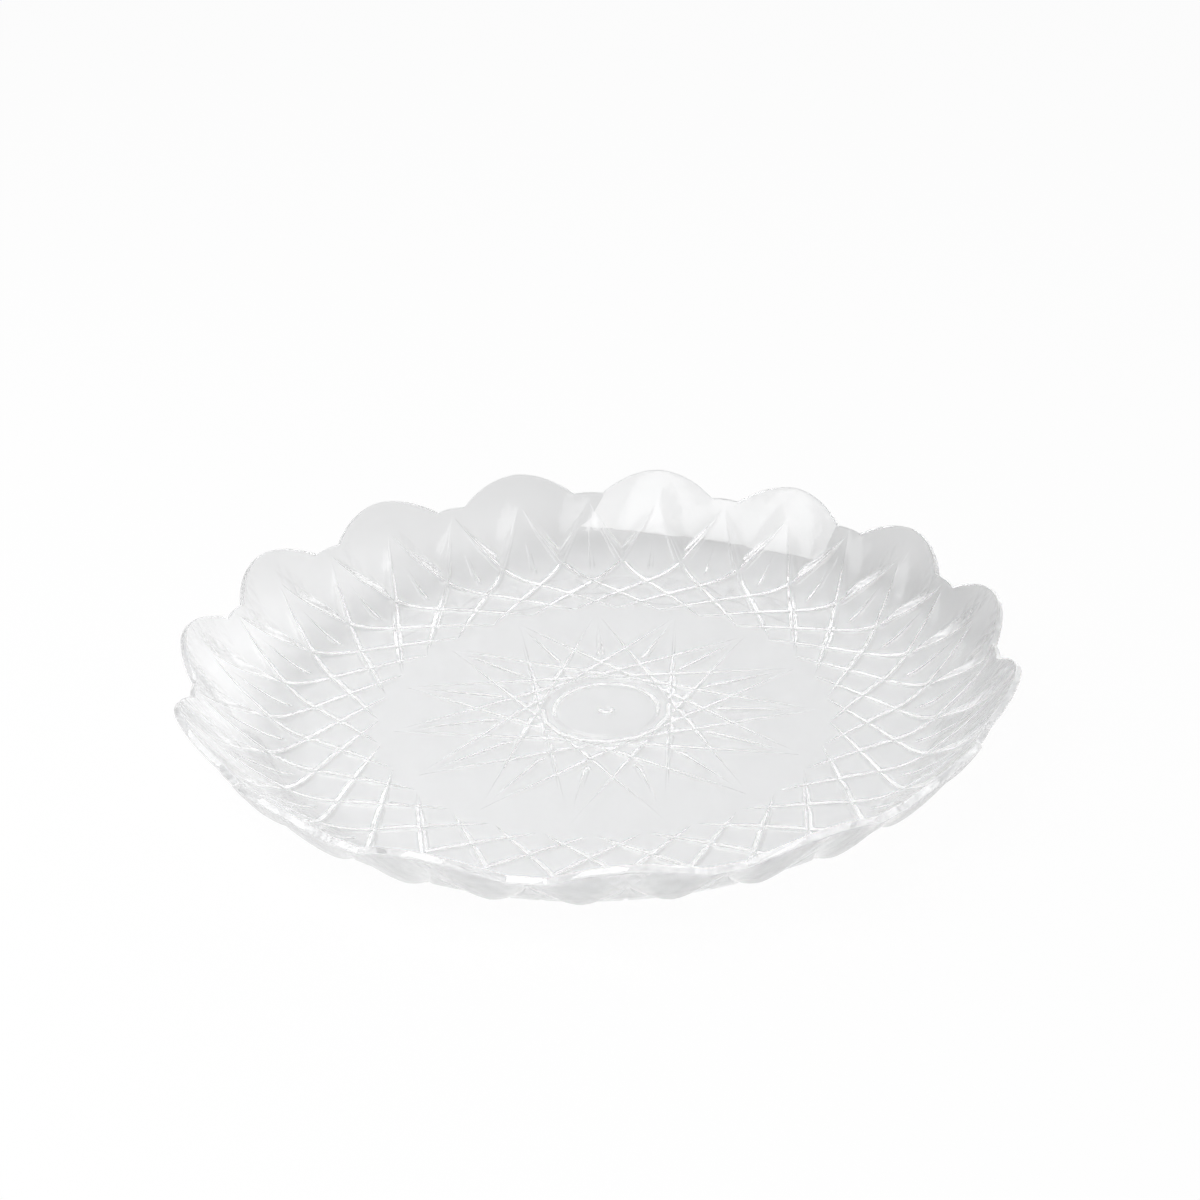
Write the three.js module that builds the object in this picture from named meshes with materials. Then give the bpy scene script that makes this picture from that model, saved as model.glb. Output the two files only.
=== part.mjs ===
// Scalloped serving tray: one clear moulding, smooth on top, with a cut-crystal star and lattice
// pressed into its underside. Millimetres, +Z up. The origin is on the table under the tray's middle.
import * as THREE from "three";
import { mergeVertices } from "three/addons/utils/BufferGeometryUtils.js";

// Driving dimensions of the dish. Its outer profile is a flat floor, a bend, a slope, a knee and an upper wall
// that steepens towards the rim.
const WALL = 2.6; // thickness of floor and wall
const FLOOR_RADIUS = 111; // where the flat underside starts to bend up
const BEND_RADIUS = 22.5;
const SLOPE = 39; // degrees, of the lower wall
const SLOPE_RUN = 9.1; // how far outwards the straight slope runs
const KNEE_RADIUS = 10;
const UPPER_SLOPE = 46; // degrees, where the upper wall starts
const UPPER_RADIUS = 152; // of the upper wall's own curve

// Driving dimensions of the rim. A wide and a narrow lobe make one pair.
const LOBE_PAIRS = 15;
const NARROW_LOBE = 4.8; // degrees, width of a narrow lobe
const CUSP_HEIGHT = 25.9; // of the notches between lobes
const WIDE_RISE = 8.8; // of a wide lobe over the notches
const NARROW_RISE = 0.4;
const LOBE_POWER = 1.84; // of the lobes' curve, where 2 is a parabola

// Driving dimensions of the lattice, whose chords start at a peak under each lobe.
const LATTICE_STEP = 10; // peaks that a chord passes over
const LATTICE_END = 5; // the crossing, counted from the middle of a chord, where its groove ends
const PEAK_DROP = 1.4; // height of the notches over the peaks
const LATTICE_GROOVE = 1.3; // half the width of a groove
const LATTICE_DEPTH = 1.1;
const PETAL_BULGE = 1.7; // how far the wall swells out between two peaks
const PETAL_LEAN = 0.7; // below 1 the swell sits nearer the lattice than the rim
const WALL_DART_HALF_WIDTH = 1.5;
const WALL_DART_DEPTH = 1;
const WALL_DART_SHARES = [0.28, 0.4, 0.53, 0.66, 0.8]; // of its cell, from the blunt end to the point

// Driving dimensions of the star, which has a point under each narrow lobe.
const STAR_STEP = 6; // points that a chord passes over
const STAR_GAP = 5.6; // bare ring between the star's points and the lattice
const STAR_GROOVE = 1.1;
const STAR_DEPTH = 1;
const STAR_DART_HALF_WIDTH = 1.5;
const STAR_DART_DEPTH = 0.9;
const STAR_DART_SHARES = [0.12, 0.8]; // of its cell, the blunt end and the point

// Driving dimensions of the round recess in the middle, which keeps the gate mark off the table.
const RECESS_SHARE = 0.75; // of the distance from the middle to the star's chords
const RECESS_CHAMFER = 2.4;
const RECESS_DEPTH = 1;
const GATE_RADIUS = 2.4;
const GATE_HEIGHT = 0.6;

const rad = THREE.MathUtils.degToRad;
const lerp = THREE.MathUtils.lerp;
const sin = (degrees) => Math.sin(rad(degrees));
const cos = (degrees) => Math.cos(rad(degrees));
const BACK = 90; // azimuth in degrees of the first narrow lobe
const polar = (radius, azimuth) => new THREE.Vector2(radius * cos(azimuth), radius * sin(azimuth));

// A point at a run along a piece of the profile: a line, or an arc that steepens if it has a curve radius.
function alongPiece({ radius, height, slope, curve }, run) {
  if (!curve) return { radius: radius + run * cos(slope), height: height + run * sin(slope), slope };
  const steeper = slope + THREE.MathUtils.radToDeg(run / curve);
  return {
    radius: radius + curve * (sin(steeper) - sin(slope)),
    height: height + curve * (cos(slope) - cos(steeper)),
    slope: steeper,
  };
}

// The pieces of the outer profile from the middle outwards. Each call ends the last one and starts the next.
const pieces = [{ length: 0, radius: 0, height: 0, slope: 0 }];
function nextPiece(run, curve) {
  const last = pieces[pieces.length - 1];
  const piece = { length: last.length + run, ...alongPiece(last, run), curve };
  pieces.push(piece);
  return piece;
}
nextPiece(FLOOR_RADIUS, BEND_RADIUS);
const slopeStart = nextPiece(BEND_RADIUS * rad(SLOPE));
const kneeStart = nextPiece(SLOPE_RUN / cos(SLOPE), KNEE_RADIUS);
const upperStart = nextPiece(KNEE_RADIUS * rad(UPPER_SLOPE - SLOPE), UPPER_RADIUS);

// Radius, height and slope in degrees of the outer profile at a length along it from the middle.
function profile(length) {
  const piece = pieces.findLast((candidate) => candidate.length <= length);
  return alongPiece(piece, length - piece.length);
}

// The length along the profile where a measure that only grows, radius or height, reaches a value.
function lengthWhere(measure, value) {
  let low = measure === "height" ? FLOOR_RADIUS : 0;
  let high = upperStart.length + CUSP_HEIGHT + WIDE_RISE;
  for (let halving = 0; halving < 50; halving++) {
    const middle = (low + high) / 2;
    if (profile(middle)[measure] < value) low = middle;
    else high = middle;
  }
  return high;
}

// A point at a profile length and azimuth, pushed into the wall by a depth. WALL deep is the top side.
function onProfile(length, azimuth, depth) {
  const { radius, height, slope } = profile(length);
  const at = polar(radius - depth * sin(slope), azimuth);
  return new THREE.Vector3(at.x, at.y, height + depth * cos(slope));
}
// The same for a point that is given in plan.
function under(plan, depth) {
  return onProfile(lengthWhere("radius", plan.length()), THREE.MathUtils.radToDeg(plan.angle()), depth);
}

// The height of the rim at an azimuth: each lobe is a curve between two notches.
const pairAngle = 360 / LOBE_PAIRS;
function rimHeight(azimuth) {
  const turns = THREE.MathUtils.euclideanModulo(azimuth - BACK, pairAngle);
  const fromNarrow = Math.min(turns, pairAngle - turns);
  const cusp = NARROW_LOBE / 2;
  const lobe = (rise, share) => CUSP_HEIGHT + rise * (1 - share ** LOBE_POWER);
  if (fromNarrow <= cusp) return lobe(NARROW_RISE, fromNarrow / cusp);
  return lobe(WIDE_RISE, (pairAngle / 2 - fromNarrow) / (pairAngle / 2 - cusp));
}

// A ring of equal chords. A chord crosses the one a given number of points round at that level, and the
// crossings of a level lie on every second axis: those of the points, or those halfway between them.
function chordRing(points, step, pointRadius) {
  const axisAngle = 180 / points;
  const near = pointRadius * cos(step * axisAngle);
  const azimuth = (axis) => BACK + axis * axisAngle;
  const radius = (level) => near / cos(level * axisAngle);
  const node = (level, axis) => polar(radius(level), azimuth(axis));
  const cellAxes = (level) =>
    Array.from({ length: points }, (_, i) => 2 * i + ((step - level) % 2 === 0 ? 1 : 0));
  return { points, near, azimuth, radius, node, cellAxes };
}
const peakLength = lengthWhere("height", CUSP_HEIGHT - PEAK_DROP);
const lattice = chordRing(2 * LOBE_PAIRS, LATTICE_STEP, profile(peakLength).radius);
const starRadius = lattice.radius(LATTICE_END) - STAR_GAP;
const star = chordRing(LOBE_PAIRS, STAR_STEP, starRadius);

// Grooves run full until two levels from a star's point, and fade out at both ends of the lattice.
const starFull = (level) => Math.min(1, (STAR_STEP - level) / 2);
const latticeFull = (level) => Math.min(1, LATTICE_STEP - level, (level - LATTICE_END) / 2);

// All triangles of the tray, as corner points.
const corners = [];
const triangle = (a, b, c) => corners.push(a, b, c);

// The band between two rows of points, of which the first lies further down or in on the underside.
function band(lower, upper) {
  for (let i = 0; i + 1 < lower.length; i++) {
    triangle(lower[i], lower[i + 1], upper[i + 1]);
    triangle(lower[i], upper[i + 1], upper[i]);
  }
}

// The outline of a cell drawn in by the groove's half width at each corner, corner by corner. A small cell
// keeps a face: no side moves further than this share of the way to the middle.
const DRAWN_IN_MOST = 0.75;
function drawnIn(outline, widths) {
  const sides = outline.map((start, i) => outline[(i + 1) % outline.length].clone().sub(start));
  const perimeter = sides.reduce((sum, side) => sum + side.length(), 0);
  const most = (DRAWN_IN_MOST * 2 * THREE.ShapeUtils.area(outline)) / perimeter;
  const lines = sides.map((side, i) => {
    const inward = new THREE.Vector2(-side.y, side.x).normalize();
    const [from, to] = [i, (i + 1) % outline.length].map((j) =>
      outline[j].clone().addScaledVector(inward, Math.min(widths[j], most)),
    );
    return { from, along: to.sub(from) };
  });
  return outline.map((_, i) => {
    const before = lines[(i + lines.length - 1) % lines.length];
    const { from, along } = lines[i];
    const share = from.clone().sub(before.from).cross(along) / before.along.cross(along);
    return before.from.clone().addScaledVector(before.along, share);
  });
}

// Points from one plan corner to the next at the given shares of the way.
const along = (start, end, shares) => shares.map((share) => start.clone().lerp(end, share));

// The groove flanks round one cell. Returns the plan points of the face left inside them, side by side.
function grooveFlanks(outline, widths, depths, shares) {
  const inner = drawnIn(outline, widths);
  return outline.map((start, i) => {
    const next = (i + 1) % outline.length;
    const face = along(inner[i], inner[next], shares[i]);
    const keel = along(start, outline[next], shares[i]).map((plan, j) =>
      under(plan, lerp(depths[i], depths[next], shares[i][j])),
    );
    band(keel.reverse(), face.map((plan) => under(plan, 0)).reverse());
    return face;
  });
}

// A face of the underside that is flat: its outline, any holes in it, and the points joining them.
function flatFace(outline, holes = []) {
  const plans = [outline, ...holes].flat();
  const points = plans.map((plan) => under(plan, 0));
  for (const [a, b, c] of THREE.ShapeUtils.triangulateShape(outline, holes)) {
    triangle(points[c], points[b], points[a]);
  }
}
const ringOf = (sides) => sides.flatMap((side) => side.slice(0, -1));

// A pointed dart sunk in a flat face, blunt at its inner end. Returns its outline in plan.
function flatDart(innerRadius, outerRadius, azimuth, halfWidth, depth) {
  const outward = polar(1, azimuth);
  const across = new THREE.Vector2(-outward.y, outward.x);
  const blunt = outward.clone().multiplyScalar(innerRadius);
  const left = blunt.clone().addScaledVector(across, halfWidth);
  const right = blunt.clone().addScaledVector(across, -halfWidth);
  const tip = outward.clone().multiplyScalar(outerRadius);
  const [a, b, c] = [left, right, tip].map((plan) => under(plan, 0));
  const keel = under(outward.clone().multiplyScalar(innerRadius + halfWidth), depth);
  triangle(a, keel, b);
  triangle(b, keel, c);
  triangle(c, keel, a);
  return [right, tip, left];
}

const WHOLE = [0, 1];
const THIRDS = [0, 1 / 3, 2 / 3, 1];
const reversed = (shares) => shares.map((share) => 1 - share).reverse();

// The star: cells of each level from the middle outwards. Those with a point hold a dart.
function starCells() {
  for (let level = 1; level <= STAR_STEP; level++) {
    for (const axis of star.cellAxes(level)) {
      const sides = [star.node(level, axis - 1), star.node(level, axis + 1)];
      const outer = level < STAR_STEP ? star.node(level + 1, axis) : polar(starRadius, star.azimuth(axis));
      const outline = [sides[0], outer, sides[1]];
      const levels = [level, Math.min(level + 1, STAR_STEP), level];
      if (level > 1) {
        outline.push(star.node(level - 1, axis));
        levels.push(level - 1);
      }
      const face = grooveFlanks(
        outline,
        levels.map((l) => STAR_GROOVE * starFull(l)),
        levels.map((l) => STAR_DEPTH * starFull(l)),
        outline.map(() => WHOLE),
      );
      const span = (share) => lerp(star.radius(level - 1), star.radius(level + 1), share);
      const [blunt, tip] = STAR_DART_SHARES.map(span);
      const hasDart = level === STAR_STEP - 1;
      flatFace(
        ringOf(face),
        hasDart ? [flatDart(blunt, tip, star.azimuth(axis), STAR_DART_HALF_WIDTH, STAR_DART_DEPTH)] : [],
      );
    }
  }
}

// The middle: the inner flanks of the star's chords, a bare ring, and the recess with the gate mark.
function middle() {
  const innerAxes = star.cellAxes(2);
  const outline = innerAxes.map((axis) => star.node(1, axis));
  const face = grooveFlanks(
    outline,
    outline.map(() => STAR_GROOVE * starFull(1)),
    outline.map(() => STAR_DEPTH * starFull(1)),
    outline.map(() => WHOLE),
  );
  const recess = RECESS_SHARE * star.near;
  const circle = Array.from({ length: 2 * LOBE_PAIRS + 1 }, (_, i) => star.azimuth(-i));
  const brim = circle.slice(0, -1).map((azimuth) => polar(recess + RECESS_CHAMFER, azimuth));
  flatFace(ringOf(face), [brim]);
  const row = (radius, depth) => circle.map((azimuth) => under(polar(radius, azimuth), depth));
  const rows = [
    row(recess + RECESS_CHAMFER, 0),
    row(recess, RECESS_DEPTH),
    row(GATE_RADIUS, RECESS_DEPTH),
    row(GATE_RADIUS / 2, RECESS_DEPTH - GATE_HEIGHT),
    row(0, RECESS_DEPTH - GATE_HEIGHT),
  ];
  rows.slice(1).forEach((next, i) => band(rows[i], next));
}

// A leg of the lattice, from its crossing up to the peak, has a point under the notch beside a narrow lobe.
const halfStep = pairAngle / 4;
const LEG_AZIMUTHS = [halfStep, (halfStep + NARROW_LOBE / 2) / 2, NARROW_LOBE / 2, 0];
const legShares = LEG_AZIMUTHS.map((fromPeak) => {
  const chordAngle = LATTICE_STEP * (180 / lattice.points);
  const reach = (angle) => Math.tan(rad(chordAngle - angle));
  return (reach(fromPeak) - reach(halfStep)) / (reach(0) - reach(halfStep));
});
const latticeShares = (level) => {
  if (level === LATTICE_STEP - 1) return legShares;
  return level >= LATTICE_STEP - 3 ? THIRDS : WHOLE;
};

// The flanks round a lattice cell. Returns the sides of its face: lower right, upper right, upper left and
// lower left.
function latticeCell(level, axis) {
  const end = level === LATTICE_END;
  const lowest = end ? polar(starRadius, lattice.azimuth(axis)) : lattice.node(level - 1, axis);
  const outline = [
    lowest,
    lattice.node(level, axis - 1),
    lattice.node(level + 1, axis),
    lattice.node(level, axis + 1),
  ];
  const full = [level - 1, level, level + 1, level].map((l) => Math.max(0, latticeFull(l)));
  const below = end ? WHOLE : latticeShares(level - 1);
  const above = latticeShares(level);
  return grooveFlanks(
    outline,
    full.map((share) => LATTICE_GROOVE * share),
    full.map((share) => LATTICE_DEPTH * share),
    [below, above, reversed(above), reversed(below)],
  );
}

// The flat cells of the lattice, and the bare ring between them and the star's points.
function floorCells() {
  for (let level = LATTICE_END; level < LATTICE_STEP - 2; level++) {
    for (const axis of lattice.cellAxes(level)) flatFace(ringOf(latticeCell(level, axis)));
  }
  for (const axis of lattice.cellAxes(LATTICE_END)) {
    const [here, next] = [axis, axis + 2].map((a) => polar(starRadius, lattice.azimuth(a)));
    flatFace([here, next, lattice.node(LATTICE_END, axis + 1)].reverse());
  }
}

// The cells that cross the bend are a grid between their lower left and upper right sides.
function bendCells() {
  for (const axis of lattice.cellAxes(LATTICE_STEP - 2)) {
    const [, upperRight, , lowerLeft] = latticeCell(LATTICE_STEP - 2, axis);
    const leftSide = [...lowerLeft].reverse();
    const rows = THIRDS.map((_, i) =>
      along(leftSide[i], upperRight[i], THIRDS).map((plan) => under(plan, 0)),
    );
    rows.slice(1).forEach((next, i) => band(next, rows[i]));
  }
}

// The tall cells up to the peaks, each with a dart that is blunt at the bend and pointed under the peak.
function wallCells() {
  const level = LATTICE_STEP - 1;
  for (const axis of lattice.cellAxes(level)) {
    const [lowerRight, upperRight, upperLeft, lowerLeft] = latticeCell(level, axis);
    const right = [...lowerRight, ...upperRight.slice(1)];
    const left = [...upperLeft, ...lowerLeft.slice(1)].reverse();
    const outward = polar(1, lattice.azimuth(axis));
    const across = new THREE.Vector2(-outward.y, outward.x);
    const span = (share) => lerp(lattice.radius(level - 1), lattice.radius(level + 1), share);
    const chain = WALL_DART_SHARES.map((share, i, all) => {
      const narrowing = 1 - i / (all.length - 1);
      const middle = outward.clone().multiplyScalar(span(share));
      const halfWidth = WALL_DART_HALF_WIDTH * narrowing;
      return {
        left: under(middle.clone().addScaledVector(across, halfWidth), 0),
        right: under(middle.clone().addScaledVector(across, -halfWidth), 0),
        keel: under(middle, WALL_DART_DEPTH * narrowing),
      };
    });
    const foot = under(right[0], 0);
    const head = under(right[right.length - 1], 0);
    const edge = (side) => [foot, ...chain.map((point) => point[side]), head];
    band(right.map((plan) => under(plan, 0)).reverse(), edge("right").reverse());
    band(left.map((plan) => under(plan, 0)), edge("left"));
    const keel = chain.map((point) => point.keel);
    band(chain.map((point) => point.right).reverse(), [...keel].reverse());
    band(chain.map((point) => point.left), keel);
    triangle(foot, chain[0].left, chain[0].right);
    triangle(chain[0].left, keel[0], chain[0].right);
  }
}

// The petals between the peaks, up to the rim, then over the rim and down the top side to a coarser ring.
const PETAL_ROWS = [0, 0.16, 0.34, 0.52, 0.72, 1];
const topRing = peakLength - WALL; // profile length of the first whole ring on the top side
function petals() {
  for (const axis of lattice.cellAxes(LATTICE_STEP)) {
    const crossing = lattice.node(LATTICE_STEP - 1, axis);
    const [rightPeak, leftPeak] = [axis - 1, axis + 1].map((a) => lattice.node(LATTICE_STEP, a));
    const outer = polar(lattice.radius(LATTICE_STEP), lattice.azimuth(axis));
    const inner = drawnIn([crossing, rightPeak, outer, leftPeak], [LATTICE_GROOVE, 0, 0, 0])[0];
    const legs = (foot) => [
      ...along(foot, rightPeak, legShares).reverse(),
      ...along(foot, leftPeak, legShares).slice(1),
    ];
    const depths = [...legShares].reverse().concat(legShares.slice(1));
    const keel = legs(crossing).map((plan, i) => under(plan, LATTICE_DEPTH * (1 - depths[i])));
    const start = legs(inner);
    const rightTurns = LEG_AZIMUTHS.map((fromPeak) => fromPeak - halfStep).reverse();
    const turns = [...rightTurns, ...LEG_AZIMUTHS.slice(1).map((fromPeak) => halfStep - fromPeak)];
    const rims = turns.map((turn) => lattice.azimuth(axis) + turn);
    const rimLengths = rims.map((azimuth) => lengthWhere("height", rimHeight(azimuth)));
    const axisLine = polar(1, lattice.azimuth(axis));
    const rows = PETAL_ROWS.map((share) =>
      start.map((plan, i) => {
        const startTurn = THREE.MathUtils.radToDeg(Math.atan2(axisLine.cross(plan), axisLine.dot(plan)));
        const turn = lerp(startTurn, turns[i], share);
        const length = lerp(lengthWhere("radius", plan.length()), rimLengths[i], share);
        const rise = Math.sin(Math.PI * share ** PETAL_LEAN);
        const swell = PETAL_BULGE * rise * cos((90 * turn) / halfStep) ** 2;
        return onProfile(length, lattice.azimuth(axis) + turn, -swell);
      }),
    );
    const topRim = rims.map((azimuth, i) => onProfile(rimLengths[i], azimuth, WALL));
    const column = [keel, ...rows, topRim];
    column.slice(1).forEach((next, i) => band(column[i], next));
    const coarse = [-halfStep, 0, halfStep].map((turn) =>
      onProfile(topRing, lattice.azimuth(axis) + turn, WALL),
    );
    const count = legShares.length - 1;
    [0, 1].forEach((half) => {
      const fine = topRim.slice(half * count, half * count + count + 1);
      const [from, to] = [coarse[half], coarse[half + 1]];
      const split = Math.ceil(count / 2);
      for (let i = 0; i < split; i++) triangle(fine[i], fine[i + 1], from);
      triangle(fine[split], to, from);
      for (let i = split; i < count; i++) triangle(fine[i], fine[i + 1], to);
    });
  }
}

// The top side below the lobes: smooth rings down the wall, and the flat floor of the dish.
function topSide() {
  const steps = (from, to, count) =>
    Array.from({ length: count }, (_, i) => lerp(from, to, (i + 1) / count));
  const lengths = [
    topRing,
    ...steps(topRing, upperStart.length, 2),
    kneeStart.length,
    slopeStart.length,
    ...steps(slopeStart.length, FLOOR_RADIUS, 4),
  ];
  const circle = Array.from({ length: 4 * LOBE_PAIRS + 1 }, (_, i) => lattice.azimuth(i));
  const rows = lengths.map((length) => circle.map((azimuth) => onProfile(length, azimuth, WALL)));
  rows.push(circle.map((azimuth) => onProfile(0, azimuth, WALL)));
  rows.slice(1).forEach((next, i) => band(rows[i], next));
}

starCells();
middle();
floorCells();
bendCells();
wallCells();
petals();
topSide();

// One closed surface: shared points are merged, and triangles that closed up where a groove ends are dropped.
function closedGeometry(points) {
  const soup = new THREE.BufferGeometry().setFromPoints(points);
  const merged = mergeVertices(soup, 1e-3);
  const index = Array.from(merged.index.array);
  const kept = [];
  for (let i = 0; i < index.length; i += 3) {
    const [a, b, c] = index.slice(i, i + 3);
    if (a !== b && b !== c && c !== a) kept.push(a, b, c);
  }
  merged.setIndex(kept);
  merged.computeVertexNormals();
  return merged;
}

const clearPlastic = new THREE.MeshStandardMaterial({
  color: 0xe8ebee,
  roughness: 0.06,
  metalness: 0,
  transparent: true,
  opacity: 0.35,
});
const tray = new THREE.Mesh(closedGeometry(corners), clearPlastic);
tray.name = "tray";

const part = new THREE.Group();
part.add(tray);
export default part;
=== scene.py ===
# %% [markdown]
# # A clear moulded tray, rebuilt as a lesson
#
# The object is a shallow round serving tray of clear plastic. Its top side is smooth, and a star, a
# lattice and small darts are pressed into its underside, as in cut crystal. The CAD model gives its size
# and place. Blender could dress that model with a material alone, but light in a clear body shows every
# facet, so this script works out a finer skin of the same tray from the same few sizes. The tray's own
# sizes are in millimetres and degrees, and those of the finish, the light and the camera in metres.

import bmesh
import bpy
import numpy as np
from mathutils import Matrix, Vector


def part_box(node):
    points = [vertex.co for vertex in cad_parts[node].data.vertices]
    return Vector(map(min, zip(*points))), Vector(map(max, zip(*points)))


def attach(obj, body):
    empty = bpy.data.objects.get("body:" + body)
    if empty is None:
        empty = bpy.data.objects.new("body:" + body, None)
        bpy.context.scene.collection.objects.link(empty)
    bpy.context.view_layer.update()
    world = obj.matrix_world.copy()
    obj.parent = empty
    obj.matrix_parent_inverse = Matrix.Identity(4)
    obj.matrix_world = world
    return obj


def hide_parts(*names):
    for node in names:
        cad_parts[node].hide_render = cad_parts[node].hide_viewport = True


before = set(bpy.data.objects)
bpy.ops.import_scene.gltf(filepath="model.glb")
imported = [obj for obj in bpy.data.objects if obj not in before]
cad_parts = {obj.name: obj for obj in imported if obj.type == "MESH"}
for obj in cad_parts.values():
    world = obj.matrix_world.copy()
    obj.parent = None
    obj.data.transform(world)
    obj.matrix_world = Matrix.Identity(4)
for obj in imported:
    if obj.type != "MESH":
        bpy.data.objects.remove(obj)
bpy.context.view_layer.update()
MM_PER_METRE = 1000
lowest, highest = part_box("tray")
print("CAD box in mm:", [round(MM_PER_METRE * (b - a), 1) for a, b in zip(lowest, highest)])

# %% [markdown]
# ## The dish
#
# Cut through the middle, the tray's outside is a flat floor, a bend, a straight slope, a knee and an
# upper wall that steepens gently towards the rim. The slope of that curve is known at every length along
# it, so the curve itself is the sum of many short steps. The top side is the same curve, one wall
# thickness further in.

# %% The outer profile of the dish
WALL = 2.6
FLOOR_RADIUS = 111.0
BEND_RADIUS = 22.5
SLOPE = np.radians(39)
SLOPE_RUN = 9.1
KNEE_RADIUS = 10.0
UPPER_SLOPE = np.radians(46)
UPPER_RADIUS = 152.0
PROFILE_END = 180.0
PROFILE_STEPS = 9000

profile_length = np.linspace(0, PROFILE_END, PROFILE_STEPS + 1)
bend_end = FLOOR_RADIUS + BEND_RADIUS * SLOPE
knee_start = bend_end + SLOPE_RUN / np.cos(SLOPE)
knee_end = knee_start + KNEE_RADIUS * (UPPER_SLOPE - SLOPE)
profile_slope = np.interp(
    profile_length,
    [FLOOR_RADIUS, bend_end, knee_start, knee_end, PROFILE_END],
    [0, SLOPE, SLOPE, UPPER_SLOPE, UPPER_SLOPE + (PROFILE_END - knee_end) / UPPER_RADIUS],
)


def summed(step):
    """The running sum of a value along the profile: each step adds the mean of its two ends."""
    steps = (step[1:] + step[:-1]) / 2 * np.diff(profile_length)
    return np.concatenate([[0], np.cumsum(steps)])


profile_radius = summed(np.cos(profile_slope))
profile_height = summed(np.sin(profile_slope))
turning_radii = np.interp([bend_end, knee_end], profile_length, profile_radius)
print("profile: bend ends at radius %.1f mm, knee ends at %.1f mm" % tuple(turning_radii))


# %% Points on the dish
def length_at_radius(radius):
    """The length along the profile at which it reaches a radius."""
    return np.interp(radius, profile_radius, profile_length)


def length_at_height(height):
    """The length along the profile at which its rising part reaches a height."""
    rising = profile_length >= FLOOR_RADIUS
    return np.interp(height, profile_height[rising], profile_length[rising])


def on_dish(length, azimuth, depth):
    """Points of the dish: go along the profile by a length, step into the wall by a depth at right angles
    to it, and turn that about the tray's axis to an azimuth."""
    slope = np.interp(length, profile_length, profile_slope)
    radius = np.interp(length, profile_length, profile_radius) - depth * np.sin(slope)
    height = np.interp(length, profile_length, profile_height) + depth * np.cos(slope)
    turn = np.radians(azimuth)
    return np.stack(np.broadcast_arrays(radius * np.cos(turn), radius * np.sin(turn), height), axis=-1)


def under_dish(plan, depth):
    """The same for points that are given in plan, as x and y."""
    azimuth = np.degrees(np.arctan2(plan[..., 1], plan[..., 0]))
    return on_dish(length_at_radius(np.linalg.norm(plan, axis=-1)), azimuth, depth)


print("dish: knee ends %.1f mm above the table" % on_dish(knee_end, 0.0, 0.0)[2])

# %% [markdown]
# ## The rim
#
# Fifteen wide lobes and fifteen narrow ones stand round the rim, with a notch between each two. A lobe's
# edge is one curve from notch to notch, so the rim's height is a function of the azimuth alone.

# %% The height of the rim
LOBE_PAIRS = 15
PAIR_ANGLE = 360 / LOBE_PAIRS
BACK = 90.0
NARROW_LOBE = 4.8
CUSP_HEIGHT = 25.9
WIDE_RISE = 8.8
NARROW_RISE = 0.4
LOBE_POWER = 1.84


def rim_height(azimuth):
    """Height of the rim: over the notches, a lobe's rise times one less a power of the share of the way
    from the lobe's middle to its notch."""
    turns = np.mod(azimuth - BACK, PAIR_ANGLE)
    from_narrow = np.minimum(turns, PAIR_ANGLE - turns)
    cusp = NARROW_LOBE / 2
    narrow = NARROW_RISE * (1 - np.clip(from_narrow / cusp, 0, 1) ** LOBE_POWER)
    to_wide = np.clip((PAIR_ANGLE / 2 - from_narrow) / (PAIR_ANGLE / 2 - cusp), 0, 1)
    wide = WIDE_RISE * (1 - to_wide**LOBE_POWER)
    return CUSP_HEIGHT + np.where(from_narrow <= cusp, narrow, wide)


lowest_rim, highest_rim = rim_height(BACK + NARROW_LOBE / 2), rim_height(BACK + PAIR_ANGLE / 2)
print("rim height from %.1f to %.1f mm" % (lowest_rim, highest_rim))

# %% [markdown]
# ## Grooves
#
# Both patterns are rings of equal chords, and each chord is a groove. A plain V would show as two hard
# facets. On this tray the grooves are soft strokes, so their section flares: steep at the keel, its
# flanks run out gently into the floor and bend the light over a wide strip. A press tool is never quite
# sharp, so the keel is a little round.

# %% The section of a groove
KEEL_ROUND = 0.12
FLARE = 1.7
LEAST_WIDTH = 1e-3


def groove_depth(distance, half_width, depth):
    """Depth of a groove at a distance from its keel: the share of the half width that is left, to a power
    that lets the flanks run out softly into the floor. The root of a sum of squares rounds the keel."""
    across = np.hypot(distance / np.maximum(half_width, LEAST_WIDTH), KEEL_ROUND)
    return depth * np.maximum(1 - across, 0) ** FLARE


half_way = groove_depth(0.5, 1.0, 1.0)
print("groove: %.0f %% of its depth half way across its flank" % (100 * half_way))


# %% The crossings of a ring of chords
def chord_ring(points, step, point_radius):
    """A ring of chords that each pass over a number of points. The chord's nearest distance to the middle
    is the points' radius times the cosine of half the angle that the chord spans."""
    axis_angle = 180 / points
    near = point_radius * np.cos(np.radians(step * axis_angle))
    return {"points": points, "step": step, "axis_angle": axis_angle, "near": near}


def level_radius(ring, level):
    """Distance from the middle to the crossings of a level. Levels count from the chord's own middle, and
    the distance is the chord's nearest one over the cosine of the level's angle."""
    return ring["near"] / np.cos(np.radians(level * ring["axis_angle"]))


def beside(ring, level):
    """A crossing of a level, one axis to the right of an axis that points along +Y."""
    turn = np.radians(ring["axis_angle"])
    return level_radius(ring, level) * np.array([np.sin(turn), np.cos(turn)])


def cell_azimuths(ring, level):
    """The azimuths of all cells whose side corners are crossings of a level."""
    first = 1 if (ring["step"] - level) % 2 == 0 else 0
    return BACK + ring["axis_angle"] * (2 * np.arange(ring["points"]) + first)


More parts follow.
